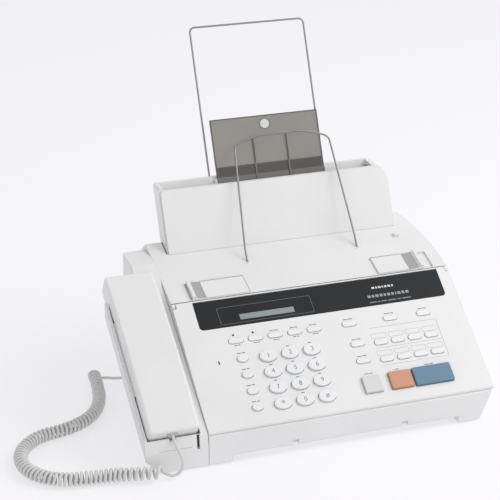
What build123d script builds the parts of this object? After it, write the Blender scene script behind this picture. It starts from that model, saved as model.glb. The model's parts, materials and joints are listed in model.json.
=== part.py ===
from build123d import *
import os
from math import atan2, cos, degrees, hypot, pi, radians, sin, tan

# Plain-paper fax machine with a side handset, a sloping key panel, a hinged top cover and a rear
# paper hopper. Everything is worked out in the case frame, in millimetres: x runs right from the
# main body's left side, y runs back from the front face, z runs up from the table. Each part is
# then moved so that the origin is under the middle of the whole machine.

os.makedirs("parts", exist_ok=True)

# Main body
BODY_W = 286.0
BODY_D = 226.0
CRADLE_W = 60.0
DEPTH = 294.0            # front face to the rearmost bend of the paper wire
WALL = 3.0
FOOT_H = 1.5             # rubber feet below the moulded feet
FLOOR_Z = 5.0            # inside of the floor
FASCIA_Z = 8.0           # underside of the front fascia, above the paper exit
EXIT_DEPTH = 70.0        # how far back the paper exit reaches
FOOT_LEFT = 23.0         # inner side of the left front foot
FOOT_RIGHT = 250.0       # inner side of the right front foot
GAP = 0.3                # between a cover and the case under it

# Control panel
PANEL_SLOPE = 35.35
PANEL_FRONT_Z = 33.4
PANEL_HINGE_U = 137.0    # hinge axis, measured up the slope
PANEL_T = 3.0
KEY_GAP = 0.35
KEY_ROUNDING = 0.5       # of a key's top edge
BOARD_W = -8.0           # top face of the key circuit board, below the panel surface

# Top cover
COVER_SLOPE = 18.1
COVER_T = 3.0
COVER_L = 92.0           # length of the sloping top
REAR_AXIS = (221.0, 121.0)
REAR_R = 4.0
TAPER_Y = 125.0          # the right side starts to curve in here
TAPER_MIDDLE = (276.8, 180.0)
TAPER_REAR_X = 256.0

# Paper hopper
HOPPER_SLOPE = 66.0
HOPPER_TOP_Z = 193.5
HOPPER_BACK_Y = 230.0    # back plate's outer face at the top
HOPPER_DEPTH = 21.6      # square to the plates
HOPPER_X = (17.5, 259.0)
PLATE_T = 3.0

# Handset
HANDSET_SLOPE = 32.0
HANDSET_X = (-56.0, -8.0)
HANDSET_U = (5.0, 180.0)
HANDSET_TOP = 10.5
HANDSET_CROWN = 3.0

# Wires and rollers
PAPER_WIRE_R = 0.95
DOC_WIRE_R = 0.95
SHAFT_R = 3.0
RUNNING = 0.05

# Curly cord
CORD_D = 2.9
COIL_D = 13.4

CENTRE_X = (BODY_W - CRADLE_W) / 2
CENTRE_Y = DEPTH / 2


def local_plane(y, z, slope):
    """A plane whose X is the machine's X and whose Y climbs backwards at the slope."""
    a = radians(slope)
    return Plane(origin=(0, y, z), x_dir=(1, 0, 0), z_dir=(0, -sin(a), cos(a)))


def at(origin, slope, u, w):
    """The (y, z) of a point u up a slope and w square to it."""
    a = radians(slope)
    return (origin[0] + u * cos(a) - w * sin(a), origin[1] + u * sin(a) + w * cos(a))


PANEL_O = (0.0, PANEL_FRONT_Z)
PANEL_AXIS = at(PANEL_O, PANEL_SLOPE, PANEL_HINGE_U, -PANEL_T)
COVER_O = at(PANEL_AXIS, COVER_SLOPE, 0, PANEL_T)
COVER_END = at(COVER_O, COVER_SLOPE, COVER_L, 0)
HOPPER_O = (HOPPER_BACK_Y, HOPPER_TOP_Z)
DOC_SLOPE = 57.6
DOC_O = at(COVER_O, COVER_SLOPE, 47.8, 0)

panel = local_plane(*PANEL_O, PANEL_SLOPE)
cover = local_plane(*COVER_O, COVER_SLOPE)
hopper = local_plane(*HOPPER_O, HOPPER_SLOPE)
handset = local_plane(*PANEL_O, HANDSET_SLOPE)
document = local_plane(*DOC_O, DOC_SLOPE)
WORLD = Plane.XY

REAR_ANGLE = degrees(atan2(COVER_END[1] - REAR_AXIS[1], REAR_AXIS[0] - COVER_END[0]))
REAR_SPAN = hypot(COVER_END[1] - REAR_AXIS[1], REAR_AXIS[0] - COVER_END[0])
# the rear slope is the line from the top's rear edge that just touches the hinge's round edge
REAR_SLOPE = REAR_ANGLE - degrees(atan2(REAR_R, (REAR_SPAN**2 - REAR_R**2) ** 0.5))


def block(x, y, z, plane=WORLD):
    """A box between two corners, in a plane's own directions."""
    size = [b - a for a, b in (x, y, z)]
    middle = [(a + b) / 2 for a, b in (x, y, z)]
    return plane.location * (Pos(*middle) * Box(*size))


def prism_x(points, x):
    """A side outline (y, z) run along x."""
    face = Plane.YZ * Polygon(*points, align=None)
    return Pos(x[0], 0, 0) * extrude(face, amount=x[1] - x[0], dir=(1, 0, 0))


def prism_y(sketch, y):
    """A front outline (x, z) run along y."""
    face = Plane(origin=(0, y[1], 0), x_dir=(1, 0, 0), z_dir=(0, -1, 0)) * sketch
    return extrude(face, amount=y[1] - y[0], dir=(0, -1, 0))


def rod(x, yz, r):
    """A round bar along x."""
    axis = Plane(origin=(x[0], yz[0], yz[1]), x_dir=(0, 1, 0), z_dir=(1, 0, 0))
    return axis.location * Cylinder(r, x[1] - x[0], align=(Align.CENTER, Align.CENTER, Align.MIN))


def post(x, y, z, r):
    """A round bar along z."""
    base = Pos(x, y, z[0])
    return base * Cylinder(r, z[1] - z[0], align=(Align.CENTER, Align.CENTER, Align.MIN))


def box_outline(x, z, radius):
    """A rectangle with its two upper corners rounded: (left radius, right radius)."""
    left, right = radius
    with BuildSketch() as made:
        with BuildLine():
            Line((x[0], z[0]), (x[1], z[0]))
            Line((x[1], z[0]), (x[1], z[1] - right))
            CenterArc((x[1] - right, z[1] - right), right, 0, 90)
            Line((x[1] - right, z[1]), (x[0] + left, z[1]))
            CenterArc((x[0] + left, z[1] - left), left, 90, 90)
            Line((x[0], z[1] - left), (x[0], z[0]))
        make_face()
    return made.sketch


def save(name, shape):
    export_step(Pos(-CENTRE_X, -CENTRE_Y, 0) * shape, f"parts/{name}.step")


# ---- outlines shared by the case and its covers -------------------------------------------------

def plan_prism(inset):
    """The body seen from above: a straight left side and a right side that curves in at the back."""
    x0, x1 = inset, BODY_W - inset
    middle, rear = TAPER_MIDDLE[0] - inset, TAPER_REAR_X - inset
    with BuildSketch() as made:
        with BuildLine():
            Polyline((rear, BODY_D), (x0, BODY_D), (x0, -1), (x1, -1), (x1, TAPER_Y))
            ThreePointArc((x1, TAPER_Y), (middle, TAPER_MIDDLE[1]), (rear, BODY_D))
        make_face()
    return extrude(made.sketch, amount=160, dir=(0, 0, 1))


def top_line(depth):
    """(y, z) points of the top outline, sunk square to each face by a depth, front to back."""
    front = at(PANEL_O, PANEL_SLOPE, 0, -depth)
    front = (0.0, front[1] - front[0] * tan(radians(PANEL_SLOPE)))
    panel_start, cover_start = at(PANEL_O, PANEL_SLOPE, 0, -depth), at(COVER_O, COVER_SLOPE, 0, -depth)
    ridge = meet(panel_start, PANEL_SLOPE, cover_start, COVER_SLOPE)
    back = meet(ridge, COVER_SLOPE, at(COVER_END, -REAR_SLOPE, 0, -depth), -REAR_SLOPE)
    return [front, ridge, back]


def meet(p, p_slope, q, q_slope):
    """Where two sloping lines cross."""
    tp, tq = tan(radians(p_slope)), tan(radians(q_slope))
    y = (q[1] - p[1] + tp * p[0] - tq * q[0]) / (tp - tq)
    return (y, p[1] + tp * (y - p[0]))


def rear_point(depth, y):
    """A point on the sunk rear slope at a given y."""
    start = at(COVER_END, -REAR_SLOPE, 0, -depth)
    return (y, start[1] - (y - start[0]) * tan(radians(REAR_SLOPE)))


# ---- lower case ---------------------------------------------------------------------------------

def side_curve(inset):
    """The case seen from the front: two feet, the raised fascia and a right side that curves in."""
    foot_z = FOOT_H
    right = BODY_W - inset
    with BuildSketch() as made:
        with BuildLine():
            Polyline((inset, 200), (inset, foot_z + inset), (272.0 - inset, foot_z + inset))
            ThreePointArc((272.0 - inset, foot_z + inset), (278.5 - inset, 16.5), (right, 36.0))
            Polyline((right, 36.0), (right, 200), (inset, 200))
        make_face()
    return made.sketch


def lower_case():
    depth = PANEL_T + GAP
    rim = BODY_D - WALL - 1.0
    outer_side = [(0, 0), *top_line(depth), rear_point(depth, rim)]
    outer_side += [(rim, 116.0), (BODY_D, 116.0), (BODY_D, 0)]
    body = prism_x(outer_side, (0, BODY_W)) & prism_y(side_curve(0), (-1, BODY_D + 1)) & plan_prism(0)
    exit_step = EXIT_DEPTH + WALL
    inner_side = [
        (WALL, FASCIA_Z + 2.5), (exit_step, FASCIA_Z + 2.5), (exit_step, FLOOR_Z), (BODY_D - WALL, FLOOR_Z),
        (BODY_D - WALL, 160), (WALL, 160),
    ]
    hollow = prism_x(inner_side, (WALL, BODY_W - WALL)) & plan_prism(WALL)
    hollow = hollow & prism_y(side_curve(WALL + 0.5), (-1, BODY_D + 1))
    body = body - hollow
    # paper exit under the fascia, and the two small notches in the fascia's lower edge
    body = body - block((FOOT_LEFT, FOOT_RIGHT), (-1, EXIT_DEPTH), (0, FASCIA_Z))
    for notch_x in (84.0, 194.0):
        body = body - block((notch_x - 3, notch_x + 3), (-1, WALL + 1), (0, FASCIA_Z + 4.5))
    # hinge lugs: two for the control panel, two for the top cover
    for x in ((0.0, 3.4), (BODY_W - 3.4, BODY_W)):
        body = body + rod(x, PANEL_AXIS, 2.9)
    for x in ((0.0, 3.4), (252.4, 256.0)):
        body = body - rod((x[0] - 1, x[1] + 1), REAR_AXIS, REAR_R + 0.5)
        body = body + rod(x, REAR_AXIS, 3.6)
        body = body + block(x, (REAR_AXIS[0] - 2.5, REAR_AXIS[0] + 2.5), (100, REAR_AXIS[1] - 2))
    body = body - rod((3.4, 252.4), REAR_AXIS, REAR_R + 0.5)
    body = body - rod((-1, BODY_W + 1), PANEL_AXIS, 1.5 + RUNNING)
    body = body - rod((-1, 258.0), REAR_AXIS, 1.8 + RUNNING)
    # screw holes in the floor, window for the rear connectors, holes for the motor's frame
    for x, y in SCREWS:
        body = body - post(x, y, (0, 10), 2.1) - post(x, y, (0, FOOT_H + 1.3), 4.0)
    body = body - block((29.8, 84.2), (BODY_D - 4, BODY_D + 1), (17.8, 36.2))
    for i in range(VENTS):
        x = VENT_X + i * VENT_PITCH
        body = body - block((x, x + 3.0), (BODY_D - 4, BODY_D + 1), (58.0, 92.0))
    return body


VENTS, VENT_X, VENT_PITCH = 14, 112.0, 9.0
SCREWS = [(40.0, 96.0), (240.0, 96.0), (40.0, 206.0), (236.0, 206.0)]
FEET = [(11.5, 12.0), (261.0, 12.0), (14.0, 208.0), (236.0, 190.0)]


def rubber_feet():
    return Part() + [post(x, y, (0, FOOT_H), 8.0) for x, y in FEET]


def case_screws():
    screws = []
    for x, y in SCREWS:
        screws.append(post(x, y, (FOOT_H + 0.1, FOOT_H + 1.3), 3.6) + post(x, y, (FOOT_H + 1.3, 8.5), 2.0))
    return Part() + screws


# ---- handset cradle -----------------------------------------------------------------------------

TRAY_END_Y = 132.0       # rear end of the wide part of the cradle
BLOCK_X = -24.0          # left side of the narrower rear block
BLOCK_END_Y = 200.0
BLOCK_TOP_Z = 136.0
JACK = (183.0, 9.0)      # cord socket in the block's left side
BASE_X = -34.0           # left side of the base under the tray
UNDER_FRONT_Z, UNDER_SLOPE = 16.0, 32.7
SEAM = 0.4               # between the cradle and the main body
HOOK_X = (-38.0, -30.0)
HOOK_U = (70.0, 78.0)


def handset_outline(front, rear, top, bottom):
    """Side outline of the handset's space in its own plane, with room in front of it and behind it."""
    u0, u1 = HANDSET_U[0] - front, HANDSET_U[1] + rear
    return [at(PANEL_O, HANDSET_SLOPE, u, w) for u, w in ((u0, bottom), (u1, bottom), (u1, top), (u0, top))]


def handset_cradle():
    rim_front = PANEL_FRONT_Z - 0.5
    slope = tan(radians(HANDSET_SLOPE))
    side = [
        (0, FOOT_H), (0, 22.0), (1.6, rim_front), (TRAY_END_Y, rim_front + slope * TRAY_END_Y),
        (TRAY_END_Y, FOOT_H),
    ]
    body = prism_x(side, (-CRADLE_W, -SEAM))
    block_y = TRAY_END_Y - 4
    rear_side = [
        (block_y, FOOT_H), (block_y, rim_front + slope * block_y),
        ((BLOCK_TOP_Z - rim_front) / slope, BLOCK_TOP_Z),
        (BLOCK_END_Y, BLOCK_TOP_Z), (BLOCK_END_Y, FOOT_H),
    ]
    rear = prism_x(rear_side, (BLOCK_X, -SEAM))
    rear = fillet(rear.edges().filter_by(Axis.Z).group_by(Axis.X)[0].group_by(Axis.Y)[-1], 4.0)
    body = body + rear
    # the wide tray overhangs: its underside climbs with the handset and slants in to the base
    climb, slant = radians(UNDER_SLOPE), radians(45)
    down = (-cos(climb) * sin(slant), sin(climb) * cos(slant), -cos(climb) * cos(slant))
    under = Plane(origin=(-CRADLE_W, 0, UNDER_FRONT_Z), x_dir=(0, cos(climb), sin(climb)), z_dir=down)
    wedge = under.location * (Pos(0, 0, 100) * Box(700, 700, 200))
    body = body - (wedge & block((-100, BASE_X), (-50, 300), (-100, 300)))
    # space for the handset, open upwards, with deeper wells for its two ends
    pocket_x = (HANDSET_X[0] - 1.0, HANDSET_X[1] + 1.0)
    body = body - prism_x(handset_outline(2.0, 1.0, 80, -1.0), pocket_x)
    for u in ((HANDSET_U[0] - 2, HANDSET_U[0] + 46), (HANDSET_U[1] - 47, HANDSET_U[1] + 1)):
        body = body - block(pocket_x, u, (-13.0, 1.0), handset)
    # recess of the hook switch, front notch beside the right wall and the cord socket
    body = body - block(HOOK_X, HOOK_U, (-8.0, 0.0), handset)
    body = body - block((-11.2, -8.6), (-1, 3.2), (20.0, 60.0))
    body = body - block((PLUG_X - 3, PLUG_X + 3), (-1, 6.0), (31.0, 60.0))
    socket_y, socket_z = (JACK[0] - 5.2, JACK[0] + 5.2), (JACK[1] - 4.2, JACK[1] + 4.2)
    body = body - block((BLOCK_X - 1, BLOCK_X + 12.2), socket_y, socket_z)
    # the pad that is screwed to the main body
    return body + block((-SEAM - 1, 0), (20, 180), (16, 26))


def hook_switch():
    return block((HOOK_X[0] + 1, HOOK_X[1] - 1), (HOOK_U[0] + 1, HOOK_U[1] - 1), (-5.0, -0.7), handset)


# ---- handset ------------------------------------------------------------------------------------

def handset_side(bottom_points, top):
    """Side outline of a handset shell; the top is an arc when top is True."""
    u0, u1 = HANDSET_U
    middle = (u0 + u1) / 2
    with BuildSketch() as made:
        with BuildLine():
            Polyline(*bottom_points)
            ends = (bottom_points[-1], bottom_points[0])
            if top:
                shoulder = HANDSET_TOP - 2
                Line(ends[0], (u1, shoulder))
                ThreePointArc((u1, shoulder), (middle, HANDSET_TOP + HANDSET_CROWN), (u0, shoulder))
                Line((u0, shoulder), ends[1])
            else:
                Line(ends[0], ends[1])
        make_face()
    # the sketch's X is u and its Y is w: stand it up across the handset
    upright = Plane(
        origin=(HANDSET_X[0], PANEL_O[0], PANEL_O[1]),
        x_dir=(0, cos(radians(HANDSET_SLOPE)), sin(radians(HANDSET_SLOPE))),
        z_dir=(1, 0, 0),
    )
    return extrude(upright * made.sketch, amount=HANDSET_X[1] - HANDSET_X[0], dir=(1, 0, 0))


SHELL_SPLIT = 5.0        # height of the seam between the two shells
PLUG_X = -33.5
PLUG_W = (-1.5, 4.5)
PLUG_OUT = 0.4           # how far the plug stands out of the handset's end


def round_ends(shell):
    """Round the four upright corners of a handset shell."""
    return fillet(shell.edges().filter_by(Axis((0, 0, 0), tuple(handset.z_dir))), 3.6)


def handset_upper_shell():
    u0, u1 = HANDSET_U
    shell = round_ends(handset_side([(u0, SHELL_SPLIT), (u1, SHELL_SPLIT)], True))
    crown = shell.faces().sort_by(Axis((0, 0, 0), tuple(handset.z_dir)))[-1]
    shell = fillet(crown.edges(), 3.0)
    inside = block(
        (HANDSET_X[0] + 3, HANDSET_X[1] - 3), (u0 + 6, u1 - 6), (SHELL_SPLIT - 1, HANDSET_TOP - 3.5), handset
    )
    return shell - inside


def handset_lower_shell():
    u0, u1 = HANDSET_U
    ear, grip = -12.0, 0.0
    points = [
        (u0, SHELL_SPLIT), (u0, ear + 3), (u0 + 3, ear), (u0 + 36, ear), (u0 + 44, grip),
        (u1 - 44, grip), (u1 - 36, ear), (u1 - 3, ear), (u1, ear + 3), (u1, SHELL_SPLIT),
    ]
    shell = round_ends(handset_side(points, False))
    for u in ((u0 + 3, u0 + 34), (u1 - 34, u1 - 3)):
        shell = shell - block((HANDSET_X[0] + 3, HANDSET_X[1] - 3), u, (ear + 3, SHELL_SPLIT + 1), handset)
    plug_x = (PLUG_X - 5.1, PLUG_X + 5.1)
    return shell - block(plug_x, (u0 - 1, u0 + 2.9), (PLUG_W[0] - 0.1, PLUG_W[1] + 0.1), handset)


def handset_plug():
    u0 = HANDSET_U[0]
    return block((PLUG_X - 5, PLUG_X + 5), (u0 - PLUG_OUT, u0 + 2.8), PLUG_W, handset)


def cradle_plug():
    return block((BLOCK_X - 2.5, BLOCK_X + 12), (JACK[0] - 5, JACK[0] + 5), (JACK[1] - 4, JACK[1] + 4))


# ---- control panel and keys ---------------------------------------------------------------------

KEY_ROW_U = 90.3
ROW_KEYS = [50.8, 70.4, 90.0, 109.8, 129.5, 165.6, 208.2, 243.4]
PAD_X, PAD_U = (76.7, 98.6, 120.5), (69.0, 52.1, 35.2, 18.3)
COLUMN_X, COLUMN_U = 52.0, (70.5, 53.2, 35.9, 18.6)
SIDE_X, SIDE_U = 167.0, (67.5, 49.0)
TOUCH_X, TOUCH_U = [190.5 + 17.6 * i for i in range(4)], (65.8, 47.0)
PAD_NAMES = ("1", "2", "3", "4", "5", "6", "7", "8", "9", "star", "0", "hash")
BIG_KEYS = {
    "copy": (158.5, 176.0, 14.0, 31.2), "stop": (185.5, 207.4, 14.0, 32.0), "start": (209.8, 249.2, 13.6, 32.4),
}
STRIP_X, STRIP_U, STRIP_T = (20.0, 273.6), (106.0, 136.6), 1.4
LCD_X, LCD_U = (61.5, 117.0), (111.9, 118.5)


def oval(width, length):
    return Ellipse(width / 2, length / 2)


def bar(width, length):
    return SlotOverall(width, length)


def plate(width, length):
    return RectangleRounded(width, length, 1.2)


def on_panel(outline, x, u, w, rounding=0.0):
    """An outline stood on the panel between two heights, its top edge rounded if asked."""
    solid = extrude(outline, amount=w[1] - w[0])
    if rounding:
        solid = fillet(solid.edges().group_by(Axis.Z)[-1], rounding)
    return panel.location * (Pos(x, u, w[0]) * solid)


def keys():
    """Every key as name, outline, size, place and height above the panel."""
    made = []
    for i, name in enumerate(PAD_NAMES):
        made.append((f"key_{name}", oval, (17.0, 12.0), (PAD_X[i % 3], PAD_U[i // 3]), 2.4))
    for i, u in enumerate(COLUMN_U):
        made.append((f"function_key_{i + 1}", oval, (10.6, 7.6), (COLUMN_X, u), 1.8))
    for i, u in enumerate(SIDE_U):
        made.append((f"mode_key_{i + 1}", bar, (14.0, 5.6), (SIDE_X, u), 1.2))
    for x in ROW_KEYS:
        made.append(("row_keys", bar, (14.4, 5.6), (x, KEY_ROW_U), 1.2))
    for u in TOUCH_U:
        for x in TOUCH_X:
            made.append(("one_touch_keys", bar, (13.4, 5.6), (x, u), 1.2))
    for name, (x0, x1, u0, u1) in BIG_KEYS.items():
        made.append((f"{name}_key", plate, (x1 - x0, u1 - u0), ((x0 + x1) / 2, (u0 + u1) / 2), 3.0))
    return made


def strip_plate(w):
    """The dark strip's outline between two heights: its two front corners are rounded."""
    shape = block(STRIP_X, STRIP_U, w, panel)
    corners = shape.edges().filter_by(Axis((0, 0, 0), tuple(panel.z_dir))).group_by(Axis.Y)[0]
    return fillet(corners, 4.0)


def control_panel():
    axis_u = PANEL_HINGE_U
    body = block((0, BODY_W), (0, axis_u), (-PANEL_T, 0), panel)
    front = body.edges().filter_by(Axis.X).sort_by(Axis.Y)[0:2].sort_by(Axis.Z)[-1]
    body = fillet(front, 2.0)
    body = body + rod((4.0, BODY_W - 4.0), PANEL_AXIS, PANEL_T)
    for x in ((-1.0, 4.0), (BODY_W - 4.0, BODY_W + 1)):
        body = body - block(x, (axis_u - 4.0, axis_u + 4), (-5.0, 1.0), panel)
    body = body + rod((0.6, 4.5), PANEL_AXIS, 1.5) + rod((BODY_W - 4.5, BODY_W - 0.6), PANEL_AXIS, 1.5)
    # ribs that carry the circuit board
    for x in ((31.0, 33.0), (259.0, 261.0)):
        body = body + block(x, (12.0, 128.0), (BOARD_W, -PANEL_T), panel)
    # recess for the dark strip, opening for the display, key holes
    body = body - strip_plate((-STRIP_T, 1))
    body = body - block(STRIP_X, (STRIP_U[1] - 1, axis_u + 0.2), (-STRIP_T, 1), panel)
    body = body - block((LCD_X[0] - 3.4, LCD_X[1] + 3.4), (LCD_U[0] - 2.4, LCD_U[1] + 2.4), (-5, 1), panel)
    for _, outline, (width, length), (x, u), _ in keys():
        body = body - on_panel(outline(width + 2 * KEY_GAP, length + 2 * KEY_GAP), x, u, (-6, 3))
    return body


def display_window():
    return strip_plate((-STRIP_T, 0.0)) - block(LCD_X, LCD_U, (-3, 1), panel)


def lcd_panel():
    base = block((LCD_X[0] - 3, LCD_X[1] + 3), (LCD_U[0] - 2, LCD_U[1] + 2), (BOARD_W, -STRIP_T), panel)
    glass_x, glass_u = (LCD_X[0] + 0.2, LCD_X[1] - 0.2), (LCD_U[0] + 0.2, LCD_U[1] - 0.2)
    return base + block(glass_x, glass_u, (-STRIP_T, -0.4), panel)


def panel_board():
    return block((31.0, 261.0), (10.0, 130.0), (BOARD_W - 1.6, BOARD_W), panel)


# ---- top cover and document guides --------------------------------------------------------------

GUIDE_U = (2.8, 27.2)
LEFT_GUIDE = {"fin": (22.0, 25.0), "base": (35.5, 80.0), "foot": (40.0, 43.0), "sign": 1}
RIGHT_GUIDE = {"fin": (258.5, 261.5), "base": (213.0, 246.0), "foot": (242.0, 245.0), "sign": -1}
GUIDE_TRAVEL = 28.5
FIN_H, PLATE_H = 4.0, 1.3
DOC_LEGS = (91.5, 207.5)
DOC_LEG_END = -9.5       # lower end of the document wire, in its socket


def leg_space(plane, x, w, u, r):
    """A round bar, or hole, up a slope."""
    return plane.location * (Pos(x, (u[0] + u[1]) / 2, w) * (Rot(90, 0, 0) * Cylinder(r, u[1] - u[0])))


def top_cover():
    outer = [COVER_O, COVER_END, rear_point(0, REAR_AXIS[0]), rear_point(COVER_T, REAR_AXIS[0])]
    outer += [top_line(COVER_T)[2], at(COVER_O, COVER_SLOPE, 0, -COVER_T)]
    body = prism_x(outer, (0, BODY_W)) & plan_prism(0)
    body = body - rod((-1, BODY_W + 1), PANEL_AXIS, PANEL_T + 0.5)
    for x in ((-1.0, 4.0), (251.8, BODY_W)):
        body = body - block(x, (REAR_AXIS[0] - 5, BODY_D + 1), (100, 140))
    body = body + rod((4.0, 251.8), REAR_AXIS, REAR_R)
    body = body + rod((0.6, 4.5), REAR_AXIS, 1.8) + rod((251.0, 255.6), REAR_AXIS, 1.8)
    # paper passes down from the hopper through a long slot
    body = body - block((26, 252), (187, 197), (100, 150))
    # wire sockets
    for x in DOC_LEGS:
        body = body + leg_space(document, x, 0, (-12.0, -2.0), 3.0)
        body = body - leg_space(document, x, 0, (DOC_LEG_END - 0.2, 14.0), DOC_WIRE_R + RUNNING)
    # shallow recesses beside the guides' fins, and the slots their feet run in
    for guide, recess in ((LEFT_GUIDE, (20.5, 34.5)), (RIGHT_GUIDE, (247.0, 272.5))):
        body = body - block(recess, (GUIDE_U[0] + 0.4, GUIDE_U[1] - 0.2), (-1.8, 1), cover)
        ends = guide["foot"]
        if guide["sign"] > 0:
            slot = (ends[0] - GAP, ends[1] + GUIDE_TRAVEL + GAP)
        else:
            slot = (ends[0] - GUIDE_TRAVEL - GAP, ends[1] + GAP)
        body = body - block(slot, (13.2, 16.8), (-5, 1), cover)
    # small finger pip in front of the hopper's right end
    return body + block((251.0, 256.0), (54.0, 58.5), (-0.5, 2.6), cover)


def document_guide(guide):
    """Low fin, a ramp and a thin plate that lie on the cover, with a foot through its slot."""
    fin, base, foot = guide["fin"], guide["base"], guide["foot"]
    if guide["sign"] > 0:
        outer, inner, edge, end = fin[0], fin[1], base[0], base[1]
    else:
        outer, inner, edge, end = fin[1], fin[0], base[1], base[0]
    ramp = inner + guide["sign"] * 1.2
    section = Polygon(
        (outer, 0.1), (outer, FIN_H), (inner, FIN_H), (ramp, 1.8), (edge, 0.6), (edge, PLATE_H),
        (end, PLATE_H), (end, 0.1), align=None,
    )
    back = cover * Plane(origin=(0, GUIDE_U[1], 0), x_dir=(1, 0, 0), z_dir=(0, -1, 0))
    body = extrude(back * section, amount=GUIDE_U[1] - GUIDE_U[0], dir=tuple(-cover.y_dir))
    body = body + block(foot, (13.5, 16.5), (-4.5, 0.5), cover)
    return body + block((foot[0] - 1.5, foot[1] + 1.5), (11.0, 19.0), (-5.5, -COVER_T - GAP), cover)


# ---- paper hopper -------------------------------------------------------------------------------

def hopper_side(w0, w1):
    """Side outline (y, z) of a slab of the hopper between two depths, reaching below the cover."""
    low = -(HOPPER_TOP_Z - 120) / sin(radians(HOPPER_SLOPE))
    high = 12.0
    return [at(HOPPER_O, HOPPER_SLOPE, u, w) for u, w in ((low, w0), (high, w0), (high, w1), (low, w1))]


def hopper_cut(shape, inset=0.0):
    """Trim a slab to the hopper's front outline and to the surface of the top cover."""
    x0, x1 = HOPPER_X[0] + inset, HOPPER_X[1] - inset
    outline = prism_y(box_outline((x0, x1), (100, HOPPER_TOP_Z - inset), (3.0, 16.0 - inset)), (150, 260))
    below = prism_x([COVER_O, COVER_END, rear_point(0, 245), (245, 90), (COVER_O[0], 90)], (-5, BODY_W + 5))
    return (shape & outline) - below


def paper_hopper():
    frame = hopper_cut(prism_x(hopper_side(0, HOPPER_DEPTH - PLATE_T - 0.3), HOPPER_X))
    room = hopper_side(PLATE_T, HOPPER_DEPTH)
    inner = prism_x(room, (HOPPER_X[0] + 4.5, HOPPER_X[1] - 4.5))
    mouth = box_outline((HOPPER_X[0] + 4.5, HOPPER_X[1] - 4), (90, HOPPER_TOP_Z - 4), (0.5, 12.0))
    closed = prism_y(mouth, (150, 260))
    opened = block((HOPPER_X[0] + 4.5, HOPPER_X[1] - 16), (150, 260), (90, 230))
    frame = frame - (inner & closed) - (inner & opened)
    # rails and a shelf hold the paper rest
    rail_w = (PLATE_T - 0.5, REST_W[1] + 0.4)
    for x in ((REST_X[0] - 2.5, REST_X[0] - 0.3), (REST_X[1] + 0.3, REST_X[1] + 2.5)):
        frame = frame + block(x, (REST_U[0] - 2, -4.0), rail_w, hopper)
    sill_x, sill_u = (REST_X[0] - 2.5, REST_X[1] + 2.5), (REST_U[0] - 2.4, REST_U[0] - 0.2)
    frame = frame + block(sill_x, sill_u, rail_w, hopper)
    # blind tubes behind the back plate hold the legs of the paper wire
    for x in PAPER_LEGS:
        frame = frame + block((x - 4, x + 4), (-34, -3), (-5.0, 0.5), hopper)
        frame = frame - leg_space(hopper, x, PAPER_WIRE_W, (PAPER_LEG_END - 0.2, 30), PAPER_WIRE_R + RUNNING)
    return frame


PAPER_LEGS = (77.0, 198.5)
PAPER_LEG_END = -28.0    # lower end of the paper wire, in its tube
PAPER_WIRE_W = -2.2
REST_X, REST_U, REST_W = (82.5, 197.0), (-28.0, 55.0), (3.6, 5.8)


def hopper_cover():
    x = (HOPPER_X[0] + 1.0, HOPPER_X[1] - 1.0)
    return hopper_cut(prism_x(hopper_side(HOPPER_DEPTH - PLATE_T, HOPPER_DEPTH), x), 1.0)


def paper_rest():
    plate = block(REST_X, REST_U, REST_W, hopper)
    rib_u, rib_w = (REST_U[0], 34.0), (REST_W[1] - 0.5, REST_W[1] + 1.0)
    for x in (124.5, 160.0):
        plate = plate + block((x - 0.8, x + 0.8), rib_u, rib_w, hopper)
    disc = hopper.location * (Pos(139.5, 46.0, REST_W[1] + 0.2) * Cylinder(5.0, 0.8))
    return plate + disc


def bent_wire(points, radii, r, plane):
    """Round wire swept along a filleted path drawn in a plane."""
    path = plane * FilletPolyline(*points, radius=radii)
    start = path @ 0
    section = Plane(origin=start, z_dir=path % 0) * Circle(r)
    return sweep(section, path=path)


def paper_wire():
    a = radians(HOPPER_SLOPE)
    rear_y = DEPTH - PAPER_WIRE_R
    top = (rear_y - HOPPER_O[0] + PAPER_WIRE_W * sin(a)) / cos(a)
    left, right = PAPER_LEGS
    plane = Plane(origin=at3(HOPPER_O, HOPPER_SLOPE, PAPER_WIRE_W), x_dir=(1, 0, 0), z_dir=hopper.z_dir)
    end = PAPER_LEG_END
    return bent_wire([(left, end), (left, top), (right, top), (right, end)], [5.0, 5.0], PAPER_WIRE_R, plane)


def at3(origin, slope, w):
    y, z = at(origin, slope, 0, w)
    return (0, y, z)


def document_wire():
    left, right = DOC_LEGS
    corner, arch = 116.0, 124.5
    points = [
        (left, DOC_LEG_END), (left, 12.0), (left + 8.1, corner), (left + 32.5, arch),
        (right - 32.5, arch), (right - 7.6, corner), (right, 12.0), (right, DOC_LEG_END),
    ]
    return bent_wire(points, [20.0, 8.0, 60.0, 60.0, 8.0, 20.0], DOC_WIRE_R, document)


# ---- drive: rollers, gears and motor ------------------------------------------------------------

MODULE = 1.0
GEAR_TEETH, PINION_TEETH = 36, 12
PLATEN = (126.0, 50.0)
MESH = MODULE * (GEAR_TEETH + PINION_TEETH) / 2
PINION_DIRECTION, FEED_DIRECTION = 40.0, 100.0
MOTOR = (PLATEN[0] + MESH * cos(radians(PINION_DIRECTION)), PLATEN[1] + MESH * sin(radians(PINION_DIRECTION)))
FEED = (MOTOR[0] + MESH * cos(radians(FEED_DIRECTION)), MOTOR[1] + MESH * sin(radians(FEED_DIRECTION)))
GEAR_X = (6.0, 11.5)
PLATE_X = ((14.0, 17.0), (264.0, 267.0))
ROLLER_X = (24.0, 258.0)
MOTOR_SHAFT_R = 2.0


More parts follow.
